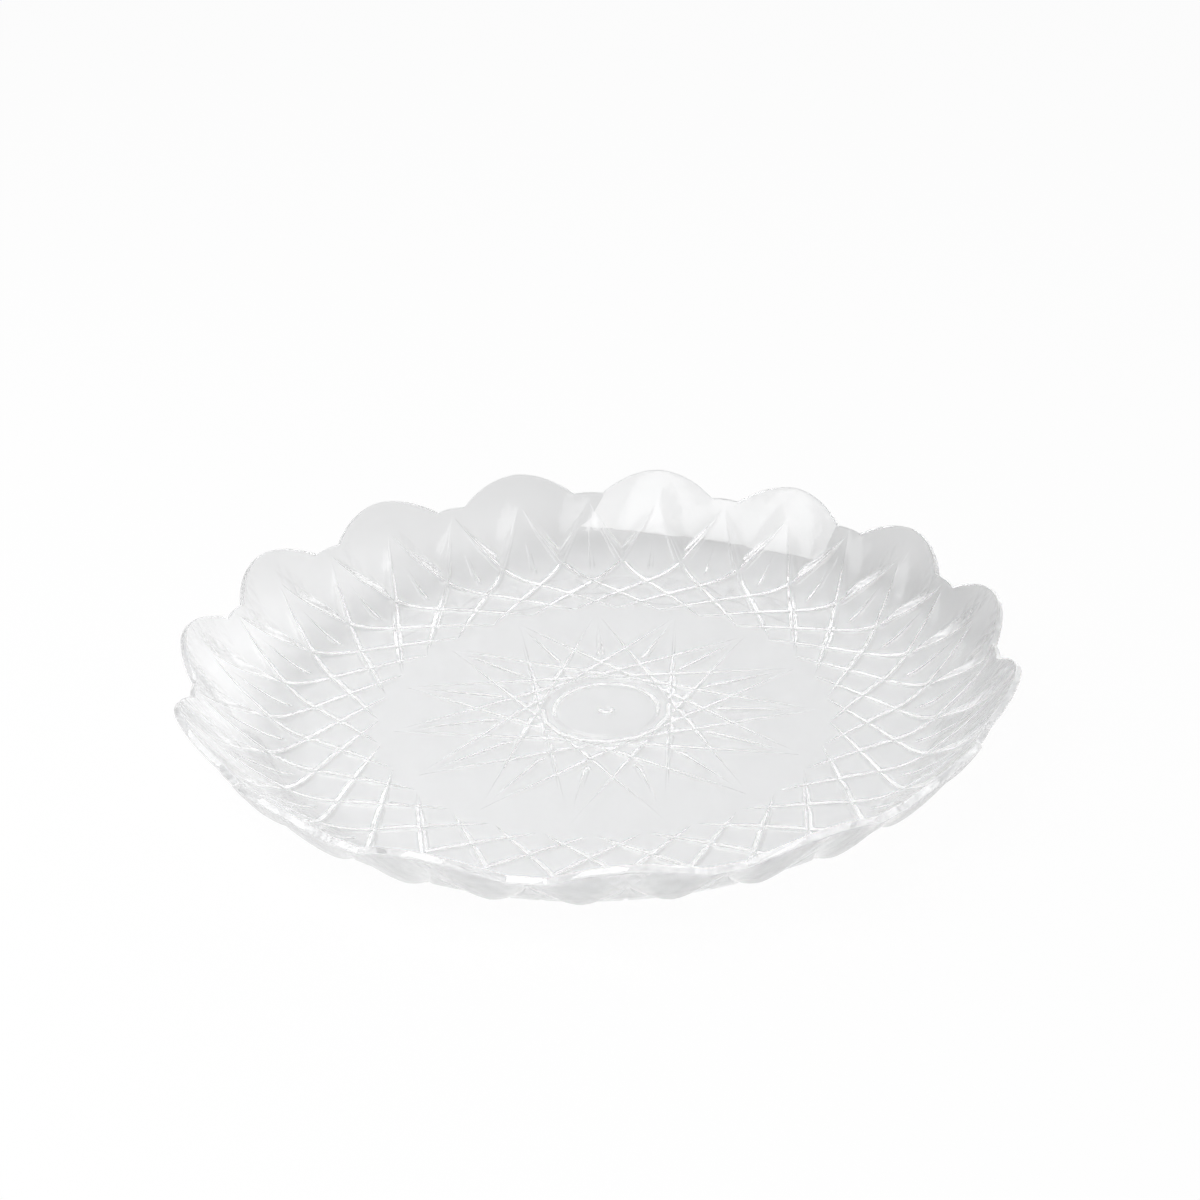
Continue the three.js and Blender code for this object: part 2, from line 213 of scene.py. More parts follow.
LATTICE_STEP = 10
LATTICE_END = 5
PEAK_DROP = 1.4
STAR_STEP = 6
STAR_GAP = 5.6
peak_radius = np.interp(CUSP_HEIGHT - PEAK_DROP, profile_height, profile_radius)
lattice = chord_ring(2 * LOBE_PAIRS, LATTICE_STEP, peak_radius)
star_radius = level_radius(lattice, LATTICE_END) - STAR_GAP
star = chord_ring(LOBE_PAIRS, STAR_STEP, star_radius)
print("peaks at radius %.1f mm, star points at %.1f mm" % (peak_radius, star_radius))

# %% [markdown]
# ## A cell
#
# The chords divide the underside into cells with four sides. A cell is the same left and right of an axis
# that points away from the tray's middle, so it is a grid: rows run across it from one side to the other,
# and the columns keep their distance from the sides, so that they lie along the flanks of the grooves.
# The cell is made once, pointing along +Y, and turned copies of it fill its ring.

# %% A cell as a grid of points in plan
FLANK_COLUMNS = np.array([0, 0.2, 0.45, 0.75, 1.0])
FLANK_MOST = 0.8
FLATTEST_SIDE = 0.2


def edge_points(start, end, shares):
    """Points at the given shares of the way from one corner to the next."""
    return start + np.asarray(shares)[:, None] * (end - start)


def even_shares(count):
    """Shares for a side without detail: equal steps, with both ends."""
    return np.linspace(0, 1, count + 1)


def close_ends(count):
    """Shares that crowd towards both ends of a side, where grooves cross: half a cosine wave."""
    return (1 - np.cos(np.pi * even_shares(count))) / 2


def half_columns(half_width, reach, inner, middle, middle_reach):
    """Distances from the axis, for each row, of the columns in half a cell: some at set shares of the
    groove's reach from the side, some evenly between, and some at set shares of a reach from the axis."""
    flank = np.minimum(reach, FLANK_MOST * half_width)
    outer = half_width[:, None] - flank[:, None] * FLANK_COLUMNS
    core = np.minimum(middle_reach, outer[:, -1] / 2)[:, None] * middle
    between = even_shares(inner + 1)[1:-1]
    gap = outer[:, -1:] + between * (core[:, :1] - outer[:, -1:])
    return np.concatenate([outer, gap, core], axis=1)


def cell_plan(right_side, groove, inner, middle=(0.0,), middle_reach=0.0):
    """The points of a cell in plan, row by row, from the points of its right side: x runs from the right
    side to the axis by the columns, and the left half mirrors it. A row meets a leaning side at an angle,
    so the groove's reach along the row is its width times the side's length over its rise."""
    half_width, along = right_side.T
    edges = np.diff(right_side, axis=0)
    edge_length = np.linalg.norm(edges, axis=1)
    lean = edge_length / np.maximum(np.abs(edges[:, 1]), FLATTEST_SIDE * edge_length)
    lean = np.interp(np.arange(len(along)), np.arange(len(lean)) + 0.5, lean)
    right = half_columns(half_width, groove * lean, inner, np.asarray(middle), middle_reach)
    x = np.concatenate([right, -right[:, -2::-1]], axis=1)
    return np.stack(np.broadcast_arrays(x, along[:, None]), axis=-1)


def sides_depth(plan, corners, widths, depths):
    """Depth of the grooves along the four sides of a cell: the deepest of their sections at each point.
    Width and depth run evenly from corner to corner."""
    deepest = np.zeros(plan.shape[:-1])
    for i, start in enumerate(corners):
        following = (i + 1) % len(corners)
        side = corners[following] - start
        share = np.clip((plan - start) @ side / (side @ side), 0, 1)
        distance = np.linalg.norm(plan - start - share[..., None] * side, axis=-1)
        width = widths[i] + share * (widths[following] - widths[i])
        depth = depths[i] + share * (depths[following] - depths[i])
        deepest = np.maximum(deepest, groove_depth(distance, width, depth))
    return deepest


print("cell:", len(FLANK_COLUMNS), "columns on the flank of a groove")

# %% Turned copies, kept for the skin
CELL_SATIN = 0.3
skin_pieces = []
skin_relief = []
skin_satin = []


def turned(points, azimuths):
    """Copies of points, turned about the tray's axis so that +Y goes to each azimuth."""
    turn = np.radians(np.asarray(azimuths) - BACK)
    cos, sin = [f(turn).reshape(-1, *[1] * (points.ndim - 1)) for f in (np.cos, np.sin)]
    x, y, z = points[..., 0], points[..., 1], points[..., 2]
    return np.stack(np.broadcast_arrays(x * cos - y * sin, x * sin + y * cos, z), axis=-1)


def add_skin(grids, relief=0.0, satin=CELL_SATIN):
    """Keeps a stack of grids of points, all of one size, for the skin of the tray, and how strongly each
    point carries the fine relief and the satin finish. Seen from outside the body, rows go up as columns
    go right."""
    skin_pieces.append(grids)
    skin_relief.append(np.broadcast_to(relief, grids.shape[:-1]))
    skin_satin.append(np.broadcast_to(satin, grids.shape[:-1]))
    return grids.shape[0] * (grids.shape[1] - 1) * (grids.shape[2] - 1)


print("copies of a cell: %d in the star, %d in the lattice" % (star["points"], lattice["points"]))

# %% [markdown]
# ## The star
#
# A star with fifteen points fills the middle of the floor. Its chords pass over six points each and fade
# out towards the points, and in each point lies a dart: a short pointed notch, blunt at the end towards
# the middle.

# %% Darts
DART_COLUMNS = np.array([1.3, 1.0, 0.5, 0.0])


def dart_depth(plan, blunt, tip, half_width, depth):
    """Depth of a dart along +Y: the least of its two side facets, which narrow from the blunt end to the
    tip, and its end facet, which falls as steeply."""
    x, y = np.abs(plan[..., 0]), plan[..., 1]
    left = np.clip((tip - y) / (tip - blunt), 0, 1)
    sides = left * (1 - x / np.maximum(half_width * left, LEAST_WIDTH))
    return depth * np.clip(np.minimum(sides, (y - blunt) / half_width), 0, None)


print("dart:", 2 * len(DART_COLUMNS) - 1, "columns across it")

# %% Star cells
STAR_GROOVE = 2.4
STAR_DEPTH = 1.2
STAR_FADE = 3
STAR_DART_HALF_WIDTH = 1.5
STAR_DART_DEPTH = 0.9
STAR_DART_SHARES = (0.12, 0.8)
STAR_ROWS = {2: 4, 3: 4, 4: 6, 5: 10, 6: 12}
STAR_INNER_COLUMNS = 2


def star_full(level):
    """How full a star groove is at a level: whole near the middle, nothing at the points."""
    return np.clip((STAR_STEP - np.asarray(level)) / STAR_FADE, 0, 1)


def star_corners(level):
    """The four corners of a star cell: lowest, right, highest and left. The outermost cells end where the
    lattice begins."""
    foot = np.array([0, level_radius(star, level - 1)])
    side = beside(star, level)
    head = np.array([0, star_radius if level == STAR_STEP else level_radius(star, level + 1)])
    return foot, side, head, side * [-1, 1]


def star_plan(level):
    """A star cell in plan: rows from its lowest corner over its side corners to its highest. The
    innermost cells are triangles and start at the side corners."""
    foot, side, head, _ = star_corners(level)
    upper = even_shares(1) if level == STAR_STEP else close_ends(STAR_ROWS[level + 1])
    right = edge_points(side, head, upper)
    if level > 1:
        right = np.concatenate([edge_points(foot, side, close_ends(STAR_ROWS[level])), right[1:]])
    if level == STAR_STEP - 1:
        return cell_plan(right, STAR_GROOVE, STAR_INNER_COLUMNS, DART_COLUMNS, STAR_DART_HALF_WIDTH)
    return cell_plan(right, STAR_GROOVE, STAR_INNER_COLUMNS)


def star_cell(level):
    """The underside of a star cell as a grid: its four grooves, and a dart in the cells before the
    points."""
    foot, side, head, other = star_corners(level)
    plan = star_plan(level)
    full = star_full(np.minimum([level - 1, level, level + 1, level], STAR_STEP))
    depth = sides_depth(plan, [foot, side, head, other], STAR_GROOVE * full, STAR_DEPTH * full)
    if level == STAR_STEP - 1:
        blunt, tip = [foot[1] + share * (head[1] - foot[1]) for share in STAR_DART_SHARES]
        depth = np.maximum(depth, dart_depth(plan, blunt, tip, STAR_DART_HALF_WIDTH, STAR_DART_DEPTH))
    return under_dish(plan, depth)


star_levels = range(1, STAR_STEP + 1)
star_faces = sum(add_skin(turned(star_cell(level), cell_azimuths(star, level))) for level in star_levels)
print("star:", star_faces, "faces")

# %% [markdown]
# ## The middle
#
# Inside the star's innermost ring the floor has a shallow round recess. The plastic was let into the
# mould there, and the recess keeps the stub of that gate off the table. All of it is one profile turned
# about the axis, apart from the first band, which joins the circle to the straight chords of the star.

# %% Recess and gate mark
RECESS_SHARE = 0.75
RECESS_CHAMFER = 2.4
RECESS_DEPTH = 1.0
CHAMFER_SHARES = np.array([1.0, 0.9, 0.75, 0.5, 0.25, 0.1, 0.0])
GATE_RADIUS = 2.8
GATE_HEIGHT = 0.9
GATE_RADIUS_SHARES = np.array([1.3, 1.0, 0.8, 0.6, 0.45, 0.3, 0.0])
GATE_HEIGHT_SHARES = np.array([0, 0.1, 0.4, 0.8, 0.97, 1, 1])
recess_radius = RECESS_SHARE * star["near"]


def recess_profile():
    """Radii and depths of the recess: half a cosine wave down its chamfer, its flat, and up the gate's
    stub."""
    chamfer = recess_radius + RECESS_CHAMFER * CHAMFER_SHARES
    chamfer_depth = RECESS_DEPTH * (1 + np.cos(np.pi * CHAMFER_SHARES)) / 2
    radii = np.concatenate([chamfer, [recess_radius / 2], GATE_RADIUS * GATE_RADIUS_SHARES])
    gate_depth = RECESS_DEPTH - GATE_HEIGHT * GATE_HEIGHT_SHARES
    return radii, np.concatenate([chamfer_depth, [RECESS_DEPTH], gate_depth])


def middle_grid():
    """The middle as a grid: columns go round with the points of the star's inner chords, and rows run up
    the flank of those chords' grooves to a circle and on along the recess's profile to the axis."""
    chord = star_plan(1)[0]
    chords = turned(np.pad(chord[:-1], ((0, 0), (0, 1))), cell_azimuths(star, 1))[..., :2]
    keel = np.concatenate([chords.reshape(-1, 2), chords[0, :1]])
    round_keel = keel / np.linalg.norm(keel, axis=1)[:, None]
    from_keel = STAR_GROOVE * FLANK_COLUMNS
    flank = keel * (1 - from_keel / star["near"])[:, None, None]
    radii, depths = recess_profile()
    rows = np.concatenate([flank, round_keel * radii[:, None, None]])
    depths = np.concatenate([groove_depth(from_keel, STAR_GROOVE, STAR_DEPTH), depths])
    return under_dish(rows, depths[:, None])


print("middle:", add_skin(middle_grid()[None, ::-1]), "faces")

# %% [markdown]
# ## The lattice
#
# Under each lobe of the rim a peak stands on the wall, and two grooves run down from it, over the bend
# and across the floor, until they fade out beside the star. The cells on the floor are flat, those on the
# bend follow it, and each tall cell on the wall holds a dart, blunt at the bend and pointed under the
# peak.

# %% Lattice cells on floor, bend and wall
LATTICE_GROOVE = 2.2
LATTICE_DEPTH = 1.2
LATTICE_FADE = 2
WALL_DART_HALF_WIDTH = 1.5
WALL_DART_DEPTH = 1.0
WALL_DART_SHARES = (0.28, 0.8)
LATTICE_ROWS = {6: 6, 7: 6, 8: 8, 9: 10}
FLOOR_INNER_COLUMNS = 2
WALL_INNER_COLUMNS = 4
LEG_STEPS = 12
HALF_STEP = PAIR_ANGLE / 4
leg_azimuths = np.unique(np.append(np.linspace(0, HALF_STEP, LEG_STEPS + 1), NARROW_LOBE / 2))[::-1]


def lattice_full(level):
    """How full a lattice groove is at a level: nothing at a peak and at the inner end, whole between."""
    level = np.asarray(level)
    return np.clip(np.minimum(LATTICE_STEP - level, (level - LATTICE_END) / LATTICE_FADE), 0, 1)


def leg_shares():
    """Shares along a leg from its crossing to the peak at set azimuths from the peak. Along a chord, the
    way from its middle goes with the tangent of the angle from there."""
    reach = np.tan(np.radians(LATTICE_STEP * lattice["axis_angle"] - leg_azimuths))
    return (reach - reach[0]) / (reach[-1] - reach[0])


def lattice_shares(level):
    """Where rows meet the side that ends at a level's crossings."""
    if level == LATTICE_STEP:
        return leg_shares()
    return even_shares(1) if level == LATTICE_END else close_ends(LATTICE_ROWS[level])


def lattice_cell(level):
    """The underside of a lattice cell as a grid, as for the star."""
    foot = np.array([0, star_radius if level == LATTICE_END else level_radius(lattice, level - 1)])
    side = beside(lattice, level)
    head = np.array([0, level_radius(lattice, level + 1)])
    lower = edge_points(foot, side, lattice_shares(level))
    upper = edge_points(side, head, lattice_shares(level + 1))
    right = np.concatenate([lower, upper[1:]])
    has_dart = level == LATTICE_STEP - 1
    inner = WALL_INNER_COLUMNS if level >= LATTICE_STEP - 2 else FLOOR_INNER_COLUMNS
    dart = (DART_COLUMNS, WALL_DART_HALF_WIDTH) if has_dart else ()
    plan = cell_plan(right, LATTICE_GROOVE, inner, *dart)
    full = lattice_full([level - 1, level, level + 1, level])
    corners = [foot, side, head, side * [-1, 1]]
    depth = sides_depth(plan, corners, LATTICE_GROOVE * full, LATTICE_DEPTH * full)
    if has_dart:
        blunt, tip = [foot[1] + share * (head[1] - foot[1]) for share in WALL_DART_SHARES]
        depth = np.maximum(depth, dart_depth(plan, blunt, tip, WALL_DART_HALF_WIDTH, WALL_DART_DEPTH))
    return under_dish(plan, depth)


def lattice_gap():
    """The flat triangle between two of the innermost lattice cells and the star's outer circle."""
    turn = np.radians(lattice["axis_angle"])
    left, right = [star_radius * np.array([side * np.sin(turn), np.cos(turn)]) for side in (-1, 1)]
    tip = np.array([0, level_radius(lattice, LATTICE_END)])
    return under_dish(np.array([[right, left], [tip, tip]]), 0.0)


lattice_faces = 0
for level in range(LATTICE_END, LATTICE_STEP):
    lattice_faces += add_skin(turned(lattice_cell(level), cell_azimuths(lattice, level)))
lattice_faces += add_skin(turned(lattice_gap(), cell_azimuths(lattice, LATTICE_END + 1)))
print("lattice:", lattice_faces, "faces")

# %% [markdown]
# ## Petals, rim and top side
#
# Between two legs of the lattice the wall swells out into a petal that reaches up to the rim. The petals
# make the bumps of the tray's lower outline. At the rim the skin turns over a rounded edge and runs down
# the smooth top side to the floor of the dish. One grid does all of that: its columns start along the two
# legs, and its rows go up the petal, over the rim and down inside. Each row also carries two weights for
# the plastic: how much of the fine relief it shows, and how satin it is.

# %% The outside of a petal
PETAL_BULGE = 1.7
PETAL_LEAN = 0.7
PETAL_ROWS = 18
EDGE_ROUND = 0.45
petal_shares = even_shares(PETAL_ROWS)[1:]


def petal_start():
    """The first rows of a petal that points along +Y, in plan: from the keels of its two legs, right to
    left, up the flanks of their grooves, which narrow towards the peaks. With them go the shares along
    the legs."""
    crossing = np.array([0, level_radius(lattice, LATTICE_STEP - 1)])
    peak = beside(lattice, LATTICE_STEP)
    lean = np.radians((LATTICE_STEP - 1) * lattice["axis_angle"])
    lift = LATTICE_GROOVE * FLANK_COLUMNS / np.cos(lean)
    foot = crossing + lift[:, None] * [0, 1]
    shares = leg_shares()
    right = foot[:, None] + shares[::-1, None] * (peak - foot[:, None])
    rows = np.concatenate([right, right[:, -2::-1] * [-1, 1]], axis=1)
    return rows, np.concatenate([shares[::-1], shares[1:]])


def petal_outside(azimuth):
    """The outside of a petal at an azimuth. Above the flanks a point goes evenly from the leg to the rim,
    pushed out by the swell: a sine wave up the petal times a squared cosine across it. With it go the
    azimuths and the lengths at which the columns reach the rim."""
    start, shares = petal_start()
    left = 1 - shares
    from_keel = LATTICE_GROOVE * FLANK_COLUMNS[:, None] * left
    depth = groove_depth(from_keel, LATTICE_GROOVE * left, LATTICE_DEPTH * left)
    turn = np.degrees(np.arctan2(-start[..., 0], start[..., 1]))
    length = length_at_radius(np.linalg.norm(start, axis=-1))
    rim_azimuth = azimuth + turn[0]
    rim_length = length_at_height(rim_height(rim_azimuth))
    up = petal_shares[:, None]
    petal_turn = turn[-1] + up * (turn[0] - turn[-1])
    petal_length = length[-1] + up * (rim_length - EDGE_ROUND - length[-1])
    across = np.cos(np.radians(90 * petal_turn / HALF_STEP)) ** 2
    swell = PETAL_BULGE * np.sin(np.pi * up**PETAL_LEAN) * across
    lengths = np.concatenate([length, petal_length])
    turns = np.concatenate([turn, petal_turn])
    return on_dish(lengths, azimuth + turns, np.concatenate([depth, -swell])), rim_azimuth, rim_length


print("petal:", len(FLANK_COLUMNS) + PETAL_ROWS, "rows from its legs to the rim")

# %% The rim's edge, the top side and the whole grid
EDGE_ROWS = 4
TOP_ROWS = 20
RELIEF_START = 0.25


def rim_edge(azimuth, length):
    """The edge of the rim: a quarter circle on the outside, a flat and a quarter circle on the inside."""
    quarter = np.radians(90 * even_shares(EDGE_ROWS)[1:, None])
    straight = length - EDGE_ROUND
    outer_depth = EDGE_ROUND * (1 - np.cos(quarter))
    inner_depth = WALL - EDGE_ROUND * (1 - np.sin(quarter))
    outer = on_dish(straight + EDGE_ROUND * np.sin(quarter), azimuth, outer_depth)
    flat_end = on_dish(length[None], azimuth, WALL - EDGE_ROUND)
    inner = on_dish(straight + EDGE_ROUND * np.cos(quarter), azimuth, inner_depth)
    return np.concatenate([outer, flat_end, inner])


def top_side(azimuth, length):
    """The top side: one wall thickness inside the profile, from the rim's edge to the floor and its
    middle."""
    straight = length - EDGE_ROUND
    down = close_ends(TOP_ROWS)[1:, None]
    wall = on_dish(straight + down * (FLOOR_RADIUS - straight), azimuth, WALL)
    return np.concatenate([wall, on_dish(np.zeros((1, 1)), azimuth, WALL)])


def petal_grid(azimuth):
    """A petal with its part of rim and top side, and the weights of its rows: the relief fades in above
    the legs, the petal is satin, and edge and top side are smooth and polished."""
    outside, rim_azimuth, rim_length = petal_outside(azimuth)
    smooth = np.concatenate([rim_edge(rim_azimuth, rim_length), top_side(rim_azimuth, rim_length)])
    legs, plain = np.ones(len(FLANK_COLUMNS)), np.zeros(len(smooth))
    relief = np.concatenate([0 * legs, np.clip(petal_shares / RELIEF_START, 0, 1), plain])
    satin = np.concatenate([CELL_SATIN * legs, np.ones(PETAL_ROWS), plain])
    return np.concatenate([outside, smooth]), relief[:, None], satin[:, None]


petal_faces = 0
for side in (-1, 1):
    petal, relief, satin = petal_grid(BACK + side * HALF_STEP)
    petal_faces += add_skin(turned(petal, BACK + PAIR_ANGLE * np.arange(LOBE_PAIRS)), relief, satin)
print("petals, rim and top side:", petal_faces, "faces")

# %% [markdown]
# ## One closed skin
#
# The grids meet along shared rows of points. Written into one mesh and welded there, they close into a
# single body, which is what a clear material needs: light has to enter and leave it through real
# surfaces.

# %% Write the grids into one mesh
def grid_faces(shape, first):
    """Corner numbers of all faces of a stack of grids whose points are numbered from the first."""
    count, rows, columns = shape
    number = first + np.arange(count * rows * columns).reshape(shape)
    corners = [number[:, :-1, :-1], number[:, :-1, 1:], number[:, 1:, 1:], number[:, 1:, :-1]]
    return np.stack(corners, axis=-1).reshape(-1, 4)


starts = np.cumsum([0] + [piece[..., 0].size for piece in skin_pieces])
points = np.concatenate([piece.reshape(-1, 3) for piece in skin_pieces]) / MM_PER_METRE
faces = np.concatenate([grid_faces(piece.shape[:3], start) for piece, start in zip(skin_pieces, starts)])
mesh = bpy.data.meshes.new("clear_tray")
mesh.from_pydata(points.tolist(), [], faces.tolist())
for name, weights in (("relief", skin_relief), ("satin", skin_satin)):
    values = np.concatenate([weight.reshape(-1) for weight in weights]).astype(np.float32)
    mesh.attributes.new(name, "FLOAT", "POINT").data.foreach_set("value", values)
print("grids:", len(points), "points,", len(faces), "faces")

# %% Weld the seams and give the tray its place
WELD = 2e-6
weld = bmesh.new()
weld.from_mesh(mesh)
bmesh.ops.remove_doubles(weld, verts=weld.verts, dist=WELD)
bmesh.ops.recalc_face_normals(weld, faces=weld.faces)
open_edges = sum(1 for edge in weld.edges if not edge.is_manifold)
weld.to_mesh(mesh)
weld.free()
mesh.polygons.foreach_set("use_smooth", np.ones(len(mesh.polygons), bool))
tray = bpy.data.objects.new("clear_tray", mesh)
bpy.context.collection.objects.link(tray)
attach(tray, "root")
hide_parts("tray")
mesh.calc_loop_triangles()
print("clear tray:", len(mesh.loop_triangles), "triangles,", open_edges, "open edges")

# %% [markdown]
# ## Clear plastic
#
# The tray is clear polystyrene. Its top side is polished, the cells of its underside are a little satin,
# and the outside of its lobes is satin with a fine diamond relief. A mix of several shaders could paint
# the lines of the pattern, but one shader does it better: full transmission with the plastic's own
# refractive index. The mesh's satin weight sets the roughness, and two crossing sets of ridges round the
# tray make the diamonds, as a bump that the relief weight fades in. Reflections and the bright and dark
# lines in the grooves then come from the shape and the light, as they do in the real one.

# %% The clear plastic
PLASTIC_INDEX = 1.55
PLASTIC_TINT = (0.965, 0.968, 0.971, 1)
POLISH = 0.02
SATIN = 0.16

plastic = bpy.data.materials.new("clear_plastic")
plastic.use_nodes = True
plastic_tree = plastic.node_tree
shader = plastic_tree.nodes["Principled BSDF"]
shader.inputs["Base Color"].default_value = PLASTIC_TINT
shader.inputs["IOR"].default_value = PLASTIC_INDEX
shader.inputs["Transmission Weight"].default_value = 1.0


def arithmetic(tree, operation, *values):
    """One step of arithmetic in a node tree, on values that are numbers or outputs of other nodes."""
    step = tree.nodes.new("ShaderNodeMath")
    step.operation = operation
    for socket, value in zip(step.inputs, values):
        if isinstance(value, (int, float)):
            socket.default_value = value
        else:
            tree.links.new(value, socket)
    return step.outputs["Value"]


def skin_weight(name):
    """The output of one of the weights that the mesh carries."""
    weight = plastic_tree.nodes.new("ShaderNodeAttribute")
    weight.attribute_name = name
    return weight.outputs["Fac"]


roughness = arithmetic(plastic_tree, "MULTIPLY_ADD", skin_weight("satin"), SATIN, POLISH)
plastic_tree.links.new(roughness, shader.inputs["Roughness"])
mesh.materials.append(plastic)
print("clear plastic with refractive index", PLASTIC_INDEX)

# %% The diamond relief
DIAMOND_COLUMNS = 165
DIAMOND_RISE = 0.0085
DIAMOND_HEIGHT = 0.00005


def ridges(operation, column, row):
    """One set of slanting ridges: how far from its valleys a point is, by the size of a sine."""
    phase = arithmetic(plastic_tree, operation, column, row)
    return arithmetic(plastic_tree, "ABSOLUTE", arithmetic(plastic_tree, "SINE", phase))


place = plastic_tree.nodes.new("ShaderNodeTexCoord")
axes = plastic_tree.nodes.new("ShaderNodeSeparateXYZ")
plastic_tree.links.new(place.outputs["Object"], axes.inputs["Vector"])
around = arithmetic(plastic_tree, "ARCTAN2", axes.outputs["Y"], axes.outputs["X"])
column = arithmetic(plastic_tree, "MULTIPLY", around, DIAMOND_COLUMNS / 2)
row = arithmetic(plastic_tree, "MULTIPLY", axes.outputs["Z"], np.pi / DIAMOND_RISE)
diamonds = arithmetic(plastic_tree, "MULTIPLY", ridges("ADD", column, row), ridges("SUBTRACT", column, row))
relief_height = arithmetic(plastic_tree, "MULTIPLY", diamonds, skin_weight("relief"))
relief_bump = plastic_tree.nodes.new("ShaderNodeBump")
relief_bump.inputs["Distance"].default_value = DIAMOND_HEIGHT
plastic_tree.links.new(relief_height, relief_bump.inputs["Height"])
plastic_tree.links.new(relief_bump.outputs["Normal"], shader.inputs["Normal"])
print("diamond relief with", DIAMOND_COLUMNS, "columns")

# %% [markdown]
# ## The table
#
# The tray lies on a white table that runs out of the picture. To the camera the table is plain white, as
# in a picture whose background was cut out, with a small matt share that keeps the tray's shadow.
# Mirrored in the plastic it is an even light grey. Through the plastic it is mostly a matt white surface,
# which takes the light and the shade that fall on it under the tray and gives the pattern its depth.

# %% The white table
TABLE_HALF = 6.0
TABLE_DROP = 0.0002
TABLE_WHITE = (0.96, 0.96, 0.96, 1)
TABLE_LEVEL = 0.86
MATT_SHARE = 0.05
MATT_MORE_THROUGH = 0.85

floor_mesh = bpy.data.meshes.new("floor")
floor_corners = TABLE_HALF * np.array([[-1, -1, 0], [1, -1, 0], [1, 1, 0], [-1, 1, 0]])
floor_mesh.from_pydata(floor_corners.tolist(), [], [(0, 1, 2, 3)])
floor = bpy.data.objects.new("floor", floor_mesh)
floor.location.z = -TABLE_DROP
bpy.context.collection.objects.link(floor)

white_floor = bpy.data.materials.new("white_floor")
white_floor.use_nodes = True
floor_tree = white_floor.node_tree
floor_tree.nodes.clear()
output = floor_tree.nodes.new("ShaderNodeOutputMaterial")
mix = floor_tree.nodes.new("ShaderNodeMixShader")
glow = floor_tree.nodes.new("ShaderNodeEmission")
matt = floor_tree.nodes.new("ShaderNodeBsdfDiffuse")
matt.inputs["Color"].default_value = TABLE_WHITE
ray = floor_tree.nodes.new("ShaderNodeLightPath").outputs
through = ray["Is Transmission Ray"]
in_plastic = arithmetic(floor_tree, "MAXIMUM", ray["Is Glossy Ray"], through)
table_grey = arithmetic(floor_tree, "MULTIPLY", in_plastic, TABLE_LEVEL)
shown = arithmetic(floor_tree, "MAXIMUM", ray["Is Camera Ray"], table_grey)
matt_share = arithmetic(floor_tree, "MULTIPLY_ADD", through, MATT_MORE_THROUGH, MATT_SHARE)
floor_tree.links.new(shown, glow.inputs["Strength"])
floor_tree.links.new(matt_share, mix.inputs["Fac"])
floor_tree.links.new(glow.outputs["Emission"], mix.inputs[1])
floor_tree.links.new(matt.outputs["BSDF"], mix.inputs[2])
floor_tree.links.new(mix.outputs["Shader"], output.inputs["Surface"])
floor_mesh.materials.append(white_floor)
print("white table,", 2 * TABLE_HALF, "m wide")

# %% [markdown]
# ## The room
#
# The polished plastic mirrors the room, which is dim, with light low on the right and a pale wall at the
# back. Through the plastic the room is brighter, most of all at the back on the right. That lights one side
# of each groove more than the other and draws the bright and dark strokes of the pattern, and a share of it
# lights all the rest. To the camera the room is white.

# %% The world
# Each part of the room is the direction in which it lies, and the cosines at which it starts and is full.
LOW_DOWN = ((0, 0, -1), -1, 0)
RIGHT_SIDE = ((0.94, -0.34, 0), -0.8, 0.6)
RIGHT_LEVEL = 0.65
BACK_WALL = ((0.1, 0.87, 0.49), 0.55, 0.98)
BACK_LEVEL = 0.9
BRIGHT_SIDE = ((0.75, 0.5, 0.43), -0.5, 0.5)
BRIGHT_LEVEL = 0.8
BRIGHT_LEAST = 0.42
BRIGHT_SHARE = 0.2

world = bpy.data.worlds.new("studio")
bpy.context.scene.world = world
world.use_nodes = True
world_tree = world.node_tree
sky = world_tree.nodes["Background"]
sky.inputs["Color"].default_value = (1, 1, 1, 1)
direction = world_tree.nodes.new("ShaderNodeTexCoord")


def towards(aim, low, high):
    """A value from 0 to 1 that rises smoothly as a direction turns towards an aim: the cosine of the
    angle between them, taken from a low to a high limit."""
    cosine = world_tree.nodes.new("ShaderNodeVectorMath")
    cosine.operation = "DOT_PRODUCT"
    cosine.inputs[1].default_value = aim
    world_tree.links.new(direction.outputs["Generated"], cosine.inputs[0])
    rise = world_tree.nodes.new("ShaderNodeMapRange")
    rise.interpolation_type = "SMOOTHSTEP"
    rise.inputs["From Min"].default_value = low
    rise.inputs["From Max"].default_value = high
    world_tree.links.new(cosine.outputs["Value"], rise.inputs["Value"])
    return rise.outputs["Result"]


ray = world_tree.nodes.new("ShaderNodeLightPath").outputs
low_right = arithmetic(world_tree, "MULTIPLY", towards(*LOW_DOWN), towards(*RIGHT_SIDE))
right_light = arithmetic(world_tree, "MULTIPLY", low_right, RIGHT_LEVEL)
room = arithmetic(world_tree, "MULTIPLY_ADD", towards(*BACK_WALL), BACK_LEVEL, right_light)
bright_room = arithmetic(world_tree, "MULTIPLY_ADD", towards(*BRIGHT_SIDE), BRIGHT_LEVEL, BRIGHT_LEAST)
bright_share = arithmetic(world_tree, "MAXIMUM", ray["Is Transmission Ray"], BRIGHT_SHARE)
bright_light = arithmetic(world_tree, "MULTIPLY", bright_room, bright_share)
lit_room = arithmetic(world_tree, "MAXIMUM", room, bright_light)
world_level = arithmetic(world_tree, "MAXIMUM", lit_room, ray["Is Camera Ray"])
world_tree.links.new(world_level, sky.inputs["Strength"])
print("room with its bright side towards", BRIGHT_SIDE[0])

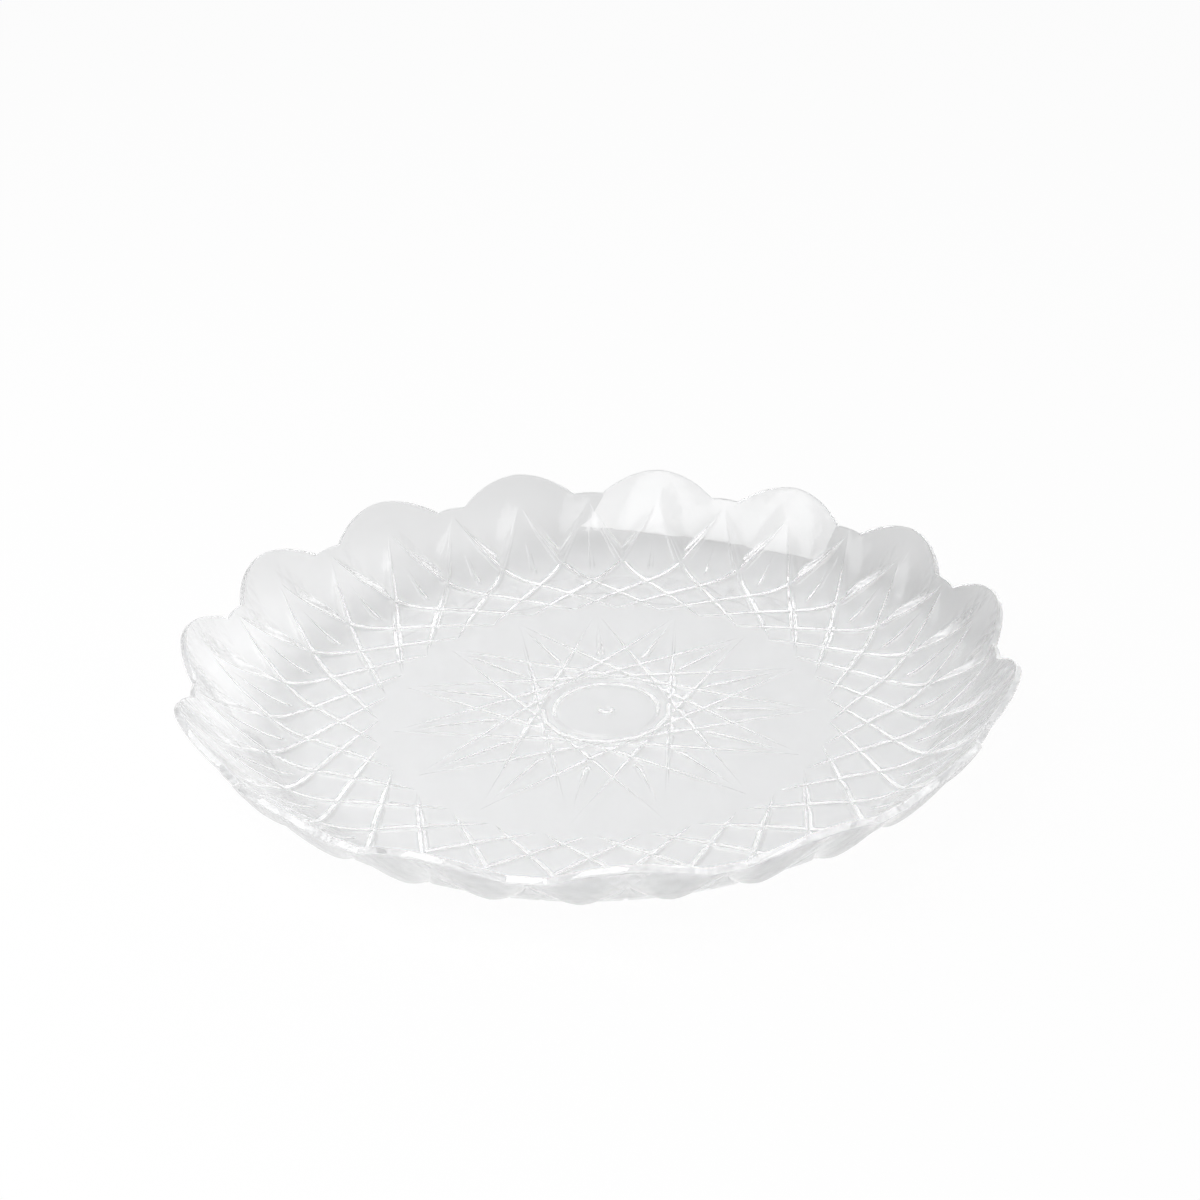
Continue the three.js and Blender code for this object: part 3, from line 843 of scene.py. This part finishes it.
# %% [markdown]
# ## The softbox
#
# One large softbox stands in front of the tray, to the left of the camera and above it. It shows as the
# bright field with a crisp lower edge in the lobes at the back. Its place comes from that field: rays
# from the camera to the edges of the field, mirrored at the wall, meet the edges of the softbox.

# %% Softbox
SOFTBOX_AZIMUTH = np.radians(-125)
SOFTBOX_ELEVATION = np.radians(42)
SOFTBOX_DISTANCE = 1.0
SOFTBOX_SIDEWAYS = -0.28
SOFTBOX_UP = 0.265
SOFTBOX_SIZE = (1.15, 0.83)
SOFTBOX_LEVEL = 3.2


def softbox_axes():
    """The softbox's directions: from the tray to it, sideways to the right as seen from there, and up."""
    level = np.array([np.cos(SOFTBOX_AZIMUTH), np.sin(SOFTBOX_AZIMUTH), 0])
    away = np.cos(SOFTBOX_ELEVATION) * level + np.sin(SOFTBOX_ELEVATION) * np.array([0, 0, 1])
    sideways = np.array([-np.sin(SOFTBOX_AZIMUTH), np.cos(SOFTBOX_AZIMUTH), 0])
    return away, sideways, np.cross(away, sideways)


away, sideways, upwards = softbox_axes()
softbox_data = bpy.data.lights.new("softbox", "AREA")
softbox_data.shape = "RECTANGLE"
softbox_data.size, softbox_data.size_y = SOFTBOX_SIZE
softbox_data.energy = SOFTBOX_LEVEL * np.pi * SOFTBOX_SIZE[0] * SOFTBOX_SIZE[1]
softbox = bpy.data.objects.new("softbox", softbox_data)
softbox.location = SOFTBOX_DISTANCE * away + SOFTBOX_SIDEWAYS * sideways + SOFTBOX_UP * upwards
softbox.rotation_euler = Vector(away).to_track_quat("Z", "Y").to_euler()
softbox.visible_camera = False
bpy.context.collection.objects.link(softbox)
print("softbox at", [round(c, 2) for c in softbox.location])

# %% [markdown]
# ## The camera
#
# Place, turn and lens were worked out from the photograph: the star's points, the lattice's crossings and
# the rim's outline fall on the same pixels. The picture is a crop from a larger one, so the lens is
# shifted. Light in a clear body is mirrored and bent many times before it leaves, so its paths may be
# long.

# %% Camera at the photograph's viewpoint
CAMERA_PLACE = (-0.02113, -0.5962, 0.34799)
CAMERA_TURN = np.radians([62.598, -1.12, -7.638])
LENS = 55.0
SENSOR = 36.0
SHIFT = (-0.15, 0.0173)
BOUNCES = 64

camera_data = bpy.data.cameras.new("camera")
camera_data.lens = LENS
camera_data.sensor_width = SENSOR
camera_data.shift_x, camera_data.shift_y = SHIFT
camera = bpy.data.objects.new("camera", camera_data)
camera.location = CAMERA_PLACE
camera.rotation_euler = CAMERA_TURN
bpy.context.collection.objects.link(camera)
bpy.context.scene.camera = camera
bpy.context.scene.view_settings.view_transform = "Standard"
light_paths = bpy.context.scene.cycles
light_paths.max_bounces = BOUNCES
light_paths.glossy_bounces = BOUNCES
light_paths.transmission_bounces = BOUNCES
print("camera at", CAMERA_PLACE)
